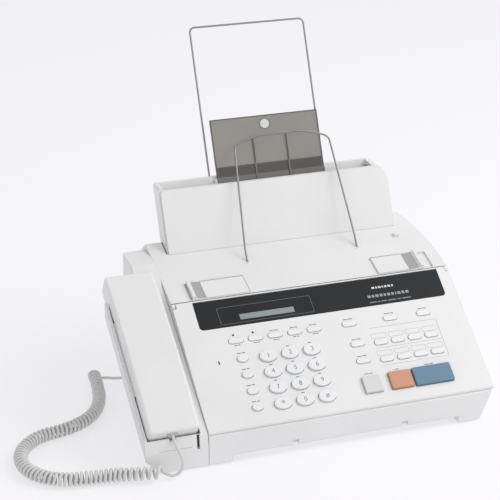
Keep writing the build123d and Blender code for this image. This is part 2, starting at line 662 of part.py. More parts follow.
def gear(centre, teeth, tooth_at, x):
    """Spur gear with slim tapered teeth; one tooth is centred on the angle tooth_at."""
    pitch_r = MODULE * teeth / 2
    root, tip = pitch_r - 1.2 * MODULE, pitch_r + 0.85 * MODULE
    step = 360.0 / teeth
    points = []
    for i in range(teeth):
        middle = tooth_at + i * step
        for angle, r in ((-0.25, root), (-0.09, tip), (0.09, tip), (0.25, root)):
            a = radians(middle + angle * step)
            points.append((centre[0] + r * cos(a), centre[1] + r * sin(a)))
    return prism_x(points, x)


def roller_frame():
    plates = []
    for x in PLATE_X:
        outline = [(112, FLOOR_Z), (166, FLOOR_Z), (166, 84), (148, 102), (118, 102), (112, 96)]
        plate = prism_x(outline, x)
        for centre, r in ((PLATEN, SHAFT_R), (FEED, SHAFT_R), (MOTOR, MOTOR_SHAFT_R + 1.0)):
            plate = plate - rod((x[0] - 1, x[1] + 1), centre, r + RUNNING)
        plates.append(plate)
    return Part() + plates


def roller(centre, r):
    return rod(ROLLER_X, centre, r) + rod((GEAR_X[0], 270.0), centre, SHAFT_R)


def driven_gear(centre, tooth_at):
    return gear(centre, GEAR_TEETH, tooth_at, GEAR_X) - rod((0, 20), centre, SHAFT_R)


def motor_pinion():
    wheel = gear(MOTOR, PINION_TEETH, PINION_DIRECTION + 180 + 180.0 / PINION_TEETH, GEAR_X)
    return wheel + rod((GEAR_X[0], 30.0), MOTOR, MOTOR_SHAFT_R)


def drive_motor():
    can = rod((17.0, 40.0), MOTOR, 13.8)
    return can - rod((16.0, 31.0), MOTOR, MOTOR_SHAFT_R + RUNNING)


def print_head():
    body = block((30, 252), (99.0, 116.6), (44.0, 56.0))
    return body - block((34, 248), (98.0, 110.0), (47.0, 53.0))


def ribbon_cartridge():
    spools = rod((36, 246), (78.0, 30.0), 10.0) + rod((36, 246), (78.0, 56.0), 8.0)
    for x in ((32, 36), (246, 250)):
        spools = spools + block(x, (67, 89), (18, 66))
    return spools


def main_board():
    board = block((112, 256), (172, 218), (9.0, 10.6))
    for x, y, h in ((130, 190, 3.0), (168, 200, 3.0), (205, 186, 4.0)):
        board = board + block((x, x + 18), (y, y + 18), (10.6, 10.6 + h))
    board = board + post(236, 200, (10.6, 24.0), 6.0)
    for x, y in ((118, 178), (250, 178), (118, 212), (245, 212)):
        board = board + post(x, y, (FLOOR_Z, 9.0), 2.5)
    return board


def power_supply():
    board = block((24, 92), (160, 212), (10.0, 12.0))
    for x, y in ((28, 164), (88, 164), (28, 208), (88, 208)):
        board = board + post(x, y, (FLOOR_Z, 10.0), 3.0)
    return board + block((30, 58), (168, 204), (12.0, 44.0)) + post(76, 186, (12.0, 40.0), 9.0)


def rear_connectors():
    body = block((30, 84), (214, BODY_D), (18, 36))
    for x in (36.0, 54.0):
        body = body - block((x, x + 11.5), (217, BODY_D + 1), (23, 31))
    body = body - block((70, 80), (217, BODY_D + 1), (22, 32))
    return body


def speaker():
    cone = post(206, 40, (FASCIA_Z + 2.5, 20.0), 18.0) + post(206, 40, (20.0, 26.0), 9.0)
    return cone


# ---- handset cord -------------------------------------------------------------------------------
# Route points in the finished frame, x y z. The first stretch drops from the handset's front end,
# the curly stretch lies on the table, and the last stretch enters the cradle's left side.

FRONT_LEAD = [
    (-146.5, -143.9, 37.1), (-146.5, -152.4, 31.8), (-141.5, -157.6, 20.5), (-141.3, -158.7, 9.9),
    (-147.35, -159.2, 3.85), (-155.85, -159.0, 4.2),
]
COIL = [
    (-155.6, -159.0, 9.45), (-180.0, -152.3, 7.9), (-206.0, -143.5, 6.9), (-249.5, -140.0, 6.9),
    (-274.5, -114.0, 6.9), (-275.5, -79.0, 6.9), (-252.0, -51.8, 6.9), (-216.5, -46.5, 6.9),
    (-188.5, -27.0, 6.9), (-172.5, 14.0, 6.9), (-169.0, 57.0, 6.9),
]
REAR_LEAD = [
    (-168.9, 57.8, 1.65), (-158.9, 56.6, 1.9), (-149.0, 45.5, 4.0), (-139.4, 36.0, 8.7),
]


def arc_radii(points):
    """Radius of each bend: as large as its two runs allow."""
    radii = []
    for before, here, after in zip(points, points[1:], points[2:]):
        a, b = Vector(*here) - Vector(*before), Vector(*after) - Vector(*here)
        half = radians(a.get_angle(b)) / 2
        radii.append(0.45 * min(a.length, b.length) / tan(half))
    return radii


def cord_tube(points, diameter):
    radii = arc_radii(points)
    path = FilletPolyline(*points, radius=radii)
    section = Plane(origin=path @ 0, z_dir=path % 0) * Circle(diameter / 2)
    tube = sweep(section, path=path)
    expected = pi * diameter**2 / 4 * path.length
    print("cord length", round(path.length, 1), "radii", [round(r, 1) for r in radii],
          "volume ratio", round(tube.volume / expected, 4))
    return tube


# ---- write every part ---------------------------------------------------------------------------

def main():
    save("lower_case", lower_case())
    save("rubber_feet", rubber_feet())
    save("case_screws", case_screws())
    save("handset_cradle", handset_cradle())
    save("hook_switch", hook_switch())
    save("handset_upper_shell", handset_upper_shell())
    save("handset_lower_shell", handset_lower_shell())
    save("handset_plug", handset_plug())
    save("cradle_plug", cradle_plug())
    save("control_panel", control_panel())
    save("display_window", display_window())
    save("lcd_panel", lcd_panel())
    save("panel_board", panel_board())
    groups = {}
    for name, outline, (width, length), (x, u), height in keys():
        cap = on_panel(outline(width, length), x, u, (BOARD_W + 1.8, height), KEY_ROUNDING)
        groups.setdefault(name, []).append(cap)
    for name, caps in groups.items():
        save(name, caps[0] if len(caps) == 1 else Part() + caps)
    save("top_cover", top_cover())
    save("document_guide_left", document_guide(LEFT_GUIDE))
    save("document_guide_right", document_guide(RIGHT_GUIDE))
    save("paper_hopper", paper_hopper())
    save("hopper_cover", hopper_cover())
    save("paper_rest", paper_rest())
    save("paper_wire", paper_wire())
    save("document_wire", document_wire())
    save("roller_frame", roller_frame())
    save("platen_roller", roller(PLATEN, 9.0))
    save("platen_gear", driven_gear(PLATEN, PINION_DIRECTION))
    save("feed_roller", roller(FEED, 8.0))
    save("feed_gear", driven_gear(FEED, FEED_DIRECTION + 180))
    save("motor_pinion", motor_pinion())
    save("drive_motor", drive_motor())
    save("print_head", print_head())
    save("ribbon_cartridge", ribbon_cartridge())
    save("main_board", main_board())
    save("power_supply", power_supply())
    save("rear_connectors", rear_connectors())
    save("speaker", speaker())
    export_step(cord_tube(FRONT_LEAD, CORD_D), "parts/cord_front_lead.step")
    export_step(cord_tube(COIL, COIL_D), "parts/curly_cord.step")
    export_step(cord_tube(REAR_LEAD, CORD_D), "parts/cord_rear_lead.step")


main()
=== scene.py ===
import json
from math import cos, pi, radians, sin

import bmesh
import bpy
from mathutils import Matrix, Vector


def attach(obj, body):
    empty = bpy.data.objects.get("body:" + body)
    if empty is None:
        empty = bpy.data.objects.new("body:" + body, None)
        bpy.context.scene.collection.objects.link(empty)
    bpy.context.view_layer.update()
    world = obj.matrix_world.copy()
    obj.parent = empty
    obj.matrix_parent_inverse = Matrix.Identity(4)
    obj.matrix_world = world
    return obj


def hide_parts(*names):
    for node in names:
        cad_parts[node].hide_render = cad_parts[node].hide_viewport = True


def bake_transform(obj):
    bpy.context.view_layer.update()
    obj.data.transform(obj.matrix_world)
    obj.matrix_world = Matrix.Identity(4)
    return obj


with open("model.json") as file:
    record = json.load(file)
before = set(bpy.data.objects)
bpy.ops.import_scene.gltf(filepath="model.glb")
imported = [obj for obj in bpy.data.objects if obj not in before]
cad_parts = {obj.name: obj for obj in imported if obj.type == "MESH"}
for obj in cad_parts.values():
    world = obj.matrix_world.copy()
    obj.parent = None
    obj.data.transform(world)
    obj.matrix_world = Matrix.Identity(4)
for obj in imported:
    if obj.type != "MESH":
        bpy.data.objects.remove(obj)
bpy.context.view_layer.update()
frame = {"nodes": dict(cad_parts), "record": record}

MM = 0.001
UP = Vector((0, 0, 1))

# Sloping surfaces: their own X is the machine's X from the body's left side, U climbs the slope and W stands
# square to it. Lengths are in millimetres.
BODY_LEFT, FRONT, PANEL_FRONT_Z = -113.0, -147.0, 33.4
PANEL_SLOPE = radians(35.35)
HANDSET_SLOPE = radians(32.0)
HOPPER_SLOPE, HOPPER_START = radians(66.0), (83.0, 193.5)
COVER_SLOPE, COVER_START = radians(18.1), (-34.455, 113.069)
CRADLE_SLOPE, CRADLE_START = radians(81.65), (FRONT, 22.0)
NOTCH_START = (FRONT + 3.2, 0.0)
PRINT_AND_SHADE_LIFT = (0.0, 0.05)        # height of printing and of painted shade lines above a surface


# ---- camera, floor and light --------------------------------------------------------------------

def add_camera():
    azimuth, elevation, distance = radians(19.25), radians(22.31), 1.7999
    aim = Vector((0.0289, 0.1473, 0.080))
    forward = Vector((sin(azimuth) * cos(elevation), cos(azimuth) * cos(elevation), -sin(elevation)))
    data = bpy.data.cameras.new("camera")
    data.sensor_width = 36.0
    data.lens = 121.0
    camera = bpy.data.objects.new("camera", data)
    camera.location = aim - forward * distance
    camera.rotation_euler = forward.to_track_quat("-Z", "Y").to_euler()
    bpy.context.scene.collection.objects.link(camera)
    bpy.context.scene.camera = camera


def add_area_light(name, place, aim, size, power):
    data = bpy.data.lights.new(name, "AREA")
    data.shape = "DISK"
    data.size = size
    data.energy = power
    light = bpy.data.objects.new(name, data)
    light.location = place
    light.rotation_euler = (Vector(aim) - Vector(place)).to_track_quat("-Z", "Y").to_euler()
    bpy.context.scene.collection.objects.link(light)


def add_studio():
    """Even pale light with a soft key from the right, over a pale floor that glows a little."""
    world = bpy.data.worlds.new("studio")
    world.use_nodes = True
    sky = world.node_tree.nodes["Background"]
    sky.inputs["Color"].default_value = (0.93, 0.925, 0.955, 1)
    sky.inputs["Strength"].default_value = 0.81
    scene = bpy.context.scene
    scene.world = world
    scene.view_settings.view_transform = "Standard"
    middle = (0, 0, 0.08)
    add_area_light("key_light", (1.25, -0.5, 1.3), middle, size=1.2, power=13.5)
    add_area_light("fill_light", (0.1, -1.9, 0.9), middle, size=1.2, power=1.2)
    mesh = bpy.data.meshes.new("floor")
    half, height = 6.0, -0.0002
    corners = [(-half, -half, height), (half, -half, height), (half, half, height), (-half, half, height)]
    mesh.from_pydata(corners, [], [(0, 1, 2, 3)])
    floor = bpy.data.objects.new("floor", mesh)
    scene.collection.objects.link(floor)
    paper = bpy.data.materials.new("floor_paper")
    paper.use_nodes = True
    nodes, links = paper.node_tree.nodes, paper.node_tree.links
    glow = nodes.new("ShaderNodeEmission")
    glow.inputs["Color"].default_value = (0.965, 0.95, 0.975, 1)
    matte = nodes["Principled BSDF"]
    matte.inputs["Base Color"].default_value = (0.93, 0.925, 0.95, 1)
    matte.inputs["Roughness"].default_value = 0.9
    mixed = nodes.new("ShaderNodeMixShader")
    mixed.inputs["Fac"].default_value = 0.42
    links.new(glow.outputs["Emission"], mixed.inputs[1])
    links.new(matte.outputs["BSDF"], mixed.inputs[2])
    links.new(mixed.outputs["Shader"], nodes["Material Output"].inputs["Surface"])
    mesh.materials.append(paper)


# ---- materials ----------------------------------------------------------------------------------

def material(name, colour, roughness, grain=0.0, grain_size=0.0006, mottle=0.02, edge=0.0004, **settings):
    """A moulded or worked surface: slight colour variation, uneven gloss, fine grain, softened edges."""
    made = bpy.data.materials.new(name)
    made.use_nodes = True
    nodes, links = made.node_tree.nodes, made.node_tree.links
    shader = nodes["Principled BSDF"]
    place = nodes.new("ShaderNodeTexCoord")

    cloud = nodes.new("ShaderNodeTexNoise")
    cloud.inputs["Scale"].default_value = 22.0
    cloud.inputs["Detail"].default_value = 4.0
    links.new(place.outputs["Object"], cloud.inputs["Vector"])
    shade = nodes.new("ShaderNodeValToRGB")
    shade.color_ramp.elements[0].position = 0.3
    shade.color_ramp.elements[1].position = 0.7
    shade.color_ramp.elements[0].color = (*[c * (1 - mottle) for c in colour], 1)
    shade.color_ramp.elements[1].color = (*[min(1, c * (1 + mottle)) for c in colour], 1)
    links.new(cloud.outputs["Fac"], shade.inputs["Fac"])
    links.new(shade.outputs["Color"], shader.inputs["Base Color"])

    speckle = nodes.new("ShaderNodeTexNoise")
    speckle.inputs["Scale"].default_value = 1 / grain_size
    speckle.inputs["Detail"].default_value = 2.0
    links.new(place.outputs["Object"], speckle.inputs["Vector"])
    gloss = nodes.new("ShaderNodeMapRange")
    gloss.inputs["To Min"].default_value = max(0.02, roughness - 0.06)
    gloss.inputs["To Max"].default_value = min(1.0, roughness + 0.06)
    links.new(cloud.outputs["Fac"], gloss.inputs["Value"])
    links.new(gloss.outputs["Result"], shader.inputs["Roughness"])

    rounded = None
    if edge:
        rounded = nodes.new("ShaderNodeBevel")
        rounded.samples = 4
        rounded.inputs["Radius"].default_value = edge
        links.new(rounded.outputs["Normal"], shader.inputs["Normal"])
    if grain:
        bump = nodes.new("ShaderNodeBump")
        bump.inputs["Strength"].default_value = grain
        bump.inputs["Distance"].default_value = 0.00008
        links.new(speckle.outputs["Fac"], bump.inputs["Height"])
        if rounded:
            links.new(rounded.outputs["Normal"], bump.inputs["Normal"])
        links.new(bump.outputs["Normal"], shader.inputs["Normal"])
    for socket, value in settings.items():
        shader.inputs[socket.replace("_", " ")].default_value = value
    return made


def brushed(name, colour, roughness, stretch):
    """Drawn or brushed metal: streaks along one direction."""
    made = material(name, colour, roughness, edge=0.0002, Metallic=1.0)
    nodes, links = made.node_tree.nodes, made.node_tree.links
    place = nodes["Texture Coordinate"]
    mapping = nodes.new("ShaderNodeMapping")
    mapping.inputs["Scale"].default_value = stretch
    streak = nodes.new("ShaderNodeTexNoise")
    streak.inputs["Scale"].default_value = 300.0
    links.new(place.outputs["Object"], mapping.inputs["Vector"])
    links.new(mapping.outputs["Vector"], streak.inputs["Vector"])
    bump = nodes.new("ShaderNodeBump")
    bump.inputs["Strength"].default_value = 0.25
    bump.inputs["Distance"].default_value = 0.00005
    links.new(streak.outputs["Fac"], bump.inputs["Height"])
    links.new(nodes["Bevel"].outputs["Normal"], bump.inputs["Normal"])
    links.new(bump.outputs["Normal"], nodes["Principled BSDF"].inputs["Normal"])
    return made


def make_materials():
    return {
        "body_plastic": material("body_plastic", (0.765, 0.765, 0.755), 0.48, grain=0.35, edge=0.0008),
        "key_plastic": material("key_plastic", (0.78, 0.79, 0.79), 0.40, grain=0.15, edge=0.0003),
        "grey_key": material("grey_key", (0.64, 0.65, 0.66), 0.40, grain=0.15, edge=0.0004),
        "orange_key": material("orange_key", (0.57, 0.27, 0.16), 0.38, grain=0.15, edge=0.0004),
        "blue_key": material("blue_key", (0.095, 0.20, 0.29), 0.38, grain=0.15, edge=0.0004),
        "dark_strip": material(
            "dark_strip", (0.017, 0.021, 0.023), 0.42, grain=0.05, mottle=0.08, edge=0.0003,
            Specular_IOR_Level=0.16,
        ),
        "lcd_glass": material("lcd_glass", (0.27, 0.31, 0.31), 0.16, mottle=0.05, edge=0.0),
        "smoked_plastic": material(
            "smoked_plastic", (0.27, 0.25, 0.215), 0.18, mottle=0.04, edge=0.0004, Alpha=0.72
        ),
        "steel_wire": brushed("steel_wire", (0.30, 0.30, 0.30), 0.34, (1, 0.2, 0.2)),
        "cord_plastic": material("cord_plastic", (0.64, 0.64, 0.625), 0.36, grain=0.1, edge=0.0),
        "clear_plug": material("clear_plug", (0.72, 0.74, 0.75), 0.12, mottle=0.03, edge=0.0003, Alpha=0.75),
        "rubber": material("rubber", (0.035, 0.035, 0.036), 0.75, grain=0.6, edge=0.0004),
        "screw_steel": brushed("screw_steel", (0.50, 0.50, 0.49), 0.34, (0.2, 1, 1)),
        "circuit_board": material(
            "circuit_board", (0.035, 0.15, 0.075), 0.42, grain=0.3, mottle=0.15, edge=0.0002
        ),
        "inner_plastic": material("inner_plastic", (0.05, 0.05, 0.055), 0.5, grain=0.3, edge=0.0003),
        "brass": brushed("brass", (0.60, 0.44, 0.18), 0.28, (0.2, 1, 1)),
        # Painted shade: the grey of the document guides' ramps.
        "guide_ramp_shade": material("guide_ramp_shade", (0.36, 0.37, 0.37), 0.55, grain=0.3, edge=0.0),
        # Grey print, also used for the painted shade in the gap along the hopper's left foot.
        "grey_print_and_shade": material("grey_print_and_shade", (0.17, 0.18, 0.19), 0.6, mottle=0.06, edge=0.0),
        # Pale grey print, also used for painted shade lines on the guides' plates and along the cradle's
        # crease.
        "pale_print_and_shade": material("pale_print_and_shade", (0.30, 0.31, 0.32), 0.6, mottle=0.06, edge=0.0),
        "print_white": material("print_white", (0.66, 0.68, 0.69), 0.55, mottle=0.04, edge=0.0),
        # Dark edges of the smoked rest, also the painted shade at its foot.
        "smoked_edge_and_foot_shade": material("smoked_edge_and_foot_shade", (0.085, 0.08, 0.07), 0.35, mottle=0.05, edge=0.0),
        # Dark lamp domes, also used for painted shade in the cradle's notch and in the handset's sound
        # holes.
        "dark_lamp_and_hole_shade": material("dark_lamp_and_hole_shade", (0.012, 0.012, 0.013), 0.8, mottle=0.1, edge=0.0),
    }


def paint_cad(materials):
    """Every CAD node takes the material of its own slot in the record."""
    for part in frame["record"]["subparts"]:
        mesh = frame["nodes"][part["node"]].data
        mesh.materials.clear()
        mesh.materials.append(materials[part["material_slot"]])


# ---- helpers for the added pieces ---------------------------------------------------------------

def slope_matrix(slope, y=FRONT, z=PANEL_FRONT_Z):
    """From (x, u, w) in millimetres on a slope that starts at y, z to the frame."""
    right = Vector((1, 0, 0))
    climb = Vector((0, cos(slope), sin(slope)))
    square = Vector((0, -sin(slope), cos(slope)))
    turn = Matrix((right, climb, square)).transposed().to_4x4()
    start = Matrix.Translation(Vector((BODY_LEFT, y, z)) * MM)
    return start @ turn @ Matrix.Scale(MM, 4)


def piece(name, shape, matrix, materials, slot, body, looks=None):
    """Turn a bmesh into a piece of the object that rides on a body."""
    mesh = bpy.data.meshes.new(name)
    shape.transform(matrix)
    bmesh.ops.recalc_face_normals(shape, faces=shape.faces)
    shape.to_mesh(mesh)
    shape.free()
    obj = bpy.data.objects.new(name, mesh)
    bpy.context.scene.collection.objects.link(obj)
    mesh.materials.append(materials[looks or slot])
    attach(obj, body)
    return obj


def outline_points(x, u, radius, segments=5):
    """A rounded rectangle between two corners, anticlockwise."""
    points = []
    corners = ((x[1], u[0], -90), (x[1], u[1], 0), (x[0], u[1], 90), (x[0], u[0], 180))
    for cx, cu, start in corners:
        inner = (cx - radius if cx == x[1] else cx + radius, cu - radius if cu == u[1] else cu + radius)
        for i in range(segments + 1):
            a = radians(start + 90 * i / segments)
            points.append((inner[0] + radius * cos(a), inner[1] + radius * sin(a)))
    return points


def add_tile(shape, x, u, w, radius=0.1):
    """A thin raised rounded tile."""
    ring = outline_points(x, u, radius)
    low = [shape.verts.new((a, b, w[0])) for a, b in ring]
    high = [shape.verts.new((a, b, w[1])) for a, b in ring]
    shape.faces.new(list(reversed(low)))
    shape.faces.new(high)
    for i in range(len(ring)):
        j = (i + 1) % len(ring)
        shape.faces.new((low[i], low[j], high[j], high[i]))


def add_frame(shape, x, u, w, line, radius=0.6):
    """A thin printed outline: a rounded rectangle with a rounded rectangle hole."""
    outer = outline_points(x, u, radius)
    inner = outline_points((x[0] + line, x[1] - line), (u[0] + line, u[1] - line), max(0.05, radius - line))
    loops = [[shape.verts.new((a, b, h)) for a, b in ring] for h in w for ring in (outer, inner)]
    low_out, low_in, high_out, high_in = loops
    count = len(outer)
    for i in range(count):
        j = (i + 1) % count
        shape.faces.new((high_out[i], high_out[j], high_in[j], high_in[i]))
        shape.faces.new((low_in[i], low_in[j], low_out[j], low_out[i]))
        shape.faces.new((low_out[i], low_out[j], high_out[j], high_out[i]))
        shape.faces.new((low_in[j], low_in[i], high_in[i], high_in[j]))


def add_disc(shape, x, u, w, radius, segments=20, dome=0.0):
    """A thin round disc, its middle raised if asked."""
    angles = [2 * pi * i / segments for i in range(segments)]
    ring = [(x + radius * cos(a), u + radius * sin(a)) for a in angles]
    low = [shape.verts.new((a, b, w[0])) for a, b in ring]
    high = [shape.verts.new((a, b, w[1])) for a, b in ring]
    top = shape.verts.new((x, u, w[1] + dome))
    shape.faces.new(list(reversed(low)))
    for i in range(segments):
        j = (i + 1) % segments
        shape.faces.new((low[i], low[j], high[j], high[i]))
        shape.faces.new((high[i], high[j], top))


def text_piece(name, words, size, x, u, w, matrix, materials, slot, body, looks):
    """A printed character: font outline turned into a thin mesh, centred on its place."""
    curve = bpy.data.curves.new(name, "FONT")
    curve.body = words
    curve.size = size
    curve.extrude = 0.03
    curve.align_x = "CENTER"
    curve.align_y = "CENTER"
    curve.resolution_u = 4
    maker = bpy.data.objects.new(name + "_maker", curve)
    bpy.context.scene.collection.objects.link(maker)
    bpy.context.view_layer.update()
    mesh = bpy.data.meshes.new_from_object(maker)
    bpy.data.objects.remove(maker)
    shape = bmesh.new()
    shape.from_mesh(mesh)
    bmesh.ops.remove_doubles(shape, verts=shape.verts, dist=0.001)
    shape.transform(Matrix.Translation(Vector((x, u, w))))
    return piece(name, shape, matrix, materials, slot, body, looks)


# ---- handset cord -------------------------------------------------------------------------------
# Route points in the frame, millimetres.

CORD_D = 2.9
COIL_R = 5.25            # from the coil's middle line to the wire's
COIL_PITCH = 4.4
LEAD_STEP, COIL_STEP = 0.0018, 0.0003
POINTS_PER_TURN = 16
FRONT_LEAD = [
    (-146.5, -143.9, 37.1), (-146.5, -152.4, 31.8), (-141.5, -157.6, 20.5), (-141.3, -158.7, 9.9),
    (-147.35, -159.2, 3.85), (-155.85, -159.0, 4.2),
]
COIL = [
    (-155.6, -159.0, 9.45), (-180.0, -152.3, 7.9), (-206.0, -143.5, 6.9), (-249.5, -140.0, 6.9),
    (-274.5, -114.0, 6.9), (-275.5, -79.0, 6.9), (-252.0, -51.8, 6.9), (-216.5, -46.5, 6.9),
    (-188.5, -27.0, 6.9), (-172.5, 14.0, 6.9), (-169.0, 57.0, 6.9),
]
REAR_LEAD = [
    (-168.9, 57.8, 1.65), (-158.9, 56.6, 1.9), (-149.0, 45.5, 4.0), (-139.4, 36.0, 8.7),
]


def nurbs(name, points, resolution):
    """A smooth open NURBS curve object with these control points."""
    curve = bpy.data.curves.new(name, "CURVE")
    curve.dimensions = "3D"
    spline = curve.splines.new("NURBS")
    spline.points.add(len(points) - 1)
    for point, place in zip(spline.points, points):
        point.co = (*place, 1)
    spline.order_u = 3
    spline.use_endpoint_u = True
    spline.resolution_u = resolution
    obj = bpy.data.objects.new(name, curve)
    bpy.context.scene.collection.objects.link(obj)
    return obj


def read_curve(name, points, resolution=16):
    """Points along the smooth curve, in order."""
    obj = nurbs(name, [Vector(p) * MM for p in points], resolution)
    bpy.context.view_layer.update()
    mesh = bpy.data.meshes.new_from_object(obj)
    line = [v.co.copy() for v in mesh.vertices]
    bpy.data.objects.remove(obj)
    return line


def evenly(line, step):
    """The same line as (point, direction) every step."""
    lengths = [0.0]
    for a, b in zip(line, line[1:]):
        lengths.append(lengths[-1] + (b - a).length)
    count = max(2, int(round(lengths[-1] / step)))
    found, k = [], 0
    for i in range(count + 1):
        s = lengths[-1] * i / count
        while k < len(line) - 2 and lengths[k + 1] < s:
            k += 1
        share = (s - lengths[k]) / (lengths[k + 1] - lengths[k])
        found.append((line[k].lerp(line[k + 1], share), (line[k + 1] - line[k]).normalized(), s))
    return found, lengths[-1]


def coil_points():
    """The curly stretch: whole turns of wire round the middle line, looser at both ends."""
    samples, total = evenly(read_curve("coil_route", COIL), COIL_STEP)
    turns, before = [0.0], 0.0
    for _, _, s in samples[1:]:
        ease = min(1.0, 0.05 + s / 0.010)
        loose = 1.0 + 0.75 * max(0.0, 1 - s / 0.045) + 0.5 * max(0.0, 1 - (total - s) / 0.05)
        turns.append(turns[-1] + (s - before) * ease / (COIL_PITCH * MM * loose))
        before = s
    whole = round(turns[-1]) / turns[-1]
    points, next_turn = [], 0.0
    for (place, along, _), turn in zip(samples, turns):
        if turn * whole >= next_turn:
            side = along.cross(UP).normalized()
            angle = 2 * pi * turn * whole
            wobble = 1 + 0.02 * sin(0.37 * angle)
            offset = UP * -cos(angle) + side * sin(angle)
            points.append(place + offset * COIL_R * MM * (1.0 if cos(angle) > 0.7 else wobble))
            next_turn = turn * whole + 1 / POINTS_PER_TURN
    return points


def add_cord(materials):
    lead = [p for p, _, _ in evenly(read_curve("front_lead_route", FRONT_LEAD), LEAD_STEP)[0]]
    tail = [p for p, _, _ in evenly(read_curve("rear_lead_route", REAR_LEAD), LEAD_STEP)[0]]
    line = lead[:-2] + coil_points()[2:-1] + tail[1:]
    wire = nurbs("handset_cord_line", line, 2)
    bpy.context.view_layer.update()
    path = [v.co.copy() for v in bpy.data.meshes.new_from_object(wire).vertices]
    wire.data.bevel_depth = CORD_D / 2 * MM
    wire.data.bevel_resolution = 3
    wire.data.use_fill_caps = True
    bpy.context.view_layer.update()
    mesh = bpy.data.meshes.new_from_object(wire)
    bpy.data.objects.remove(wire)
    mesh.materials.clear()
    mesh.materials.append(materials["cord_plastic"])
    mesh.polygons.foreach_set("use_smooth", [True] * len(mesh.polygons))
    cord = bpy.data.objects.new("handset_cord", mesh)
    bpy.context.scene.collection.objects.link(cord)
    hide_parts("cord_front_lead", "curly_cord", "cord_rear_lead")
    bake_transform(cord)


# ---- printing on the control panel --------------------------------------------------------------

KEY_ROW_U = 90.3
ROW_KEYS = [50.8, 70.4, 90.0, 109.8, 129.5, 165.6, 208.2, 243.4]
PAD_X, PAD_U = (76.7, 98.6, 120.5), (69.0, 52.1, 35.2, 18.3)
COLUMN_X, COLUMN_U = 52.0, (70.5, 53.2, 35.9, 18.6)
SIDE_X, SIDE_U = 167.0, (67.5, 49.0)
TOUCH_X, TOUCH_U = [190.5 + 17.6 * i for i in range(4)], (65.8, 47.0)
PAD_WORDS = ("1", "2", "3", "4", "5", "6", "7", "8", "9", "*", "0", "#")
PAD_NODES = ("1", "2", "3", "4", "5", "6", "7", "8", "9", "star", "0", "hash")
DIGIT_SIZE, STAR_SIZE, STAR_DROP = 6.6, 9.5, 1.3
KEY_TOP_W = 2.42


def add_label(shape, x, u, words, height=0.8, space=0.7):
    """A row of illegible print, centred on its place: one short bar for each word."""
    left = x - (sum(words) + space * (len(words) - 1)) / 2
    for word in words:
        add_tile(shape, (left, left + word), (u - height / 2, u + height / 2), PRINT_AND_SHADE_LIFT, 0.12)
        left += word + space


def add_panel_printing(materials):
    panel = slope_matrix(PANEL_SLOPE)
    marks = bmesh.new()
    row_labels = [(3, 5), (4.4, 3), (3, 3.4), (4, 5), (6, 3), (5, 4)]
    for x, words in zip(ROW_KEYS[2:], row_labels):
        add_label(marks, x, KEY_ROW_U + 5.2, words)
    for x in ROW_KEYS[:5]:
        add_label(marks, x, KEY_ROW_U - 4.9, (3.2, 2.4))
    for u in COLUMN_U:
        add_label(marks, COLUMN_X, u + 6.3, (4.2, 3.0))
    for u in SIDE_U:
        add_label(marks, SIDE_X, u + 5.2, (4.0, 4.6))
    for x, words in ((167.2, (5, 3)), (196.4, (4,)), (229.5, (5, 4))):
        add_label(marks, x, 34.8, words)
    for i in (1, 2, 3, 4, 5, 6, 7, 8, 10):
        add_label(marks, PAD_X[i % 3], PAD_U[i // 3] + 7.9, (3.2,))
    piece("panel_labels", marks, panel, materials, "dark_strip", "panel", "grey_print_and_shade")

    lines = bmesh.new()
    for u in TOUCH_U:
        for x in TOUCH_X:
            add_frame(lines, (x - 7.6, x + 7.6), (u + 4.4, u + 9.6), PRINT_AND_SHADE_LIFT, 0.22)
    add_tile(lines, (184.0, 252.5), (81.9, 82.2), PRINT_AND_SHADE_LIFT, 0.1)
    for u in (44.9, 63.9):
        add_tile(lines, (184.0, 253.0), (u - 4.2, u - 3.95), PRINT_AND_SHADE_LIFT, 0.1)
    add_tile(lines, (253.2, 253.5), (41.0, 82.2), PRINT_AND_SHADE_LIFT, 0.1)
    piece("one_touch_frames", lines, panel, materials, "dark_strip", "panel", "pale_print_and_shade")

    dots = bmesh.new()
    for x in ROW_KEYS[:2]:
        add_disc(dots, x - 1.0, KEY_ROW_U + 6.4, (0.0, 0.25), 1.0, dome=0.35)
    add_tile(dots, (27.9, 29.3), (68.0, 71.6), (0.0, 0.06), 0.6)
    piece("indicator_lamps", dots, panel, materials, "dark_strip", "panel", "dark_lamp_and_hole_shade")

    for words, node, i in zip(PAD_WORDS, PAD_NODES, range(12)):
        x, u = PAD_X[i % 3], PAD_U[i // 3]
        size, drop = (STAR_SIZE, STAR_DROP) if words == "*" else (DIGIT_SIZE, 0.0)
        text_piece(
            f"digit_{node}", words, size, x, u - drop, KEY_TOP_W, panel, materials, "dark_strip",
            f"key_{node}", "grey_print_and_shade",
        )


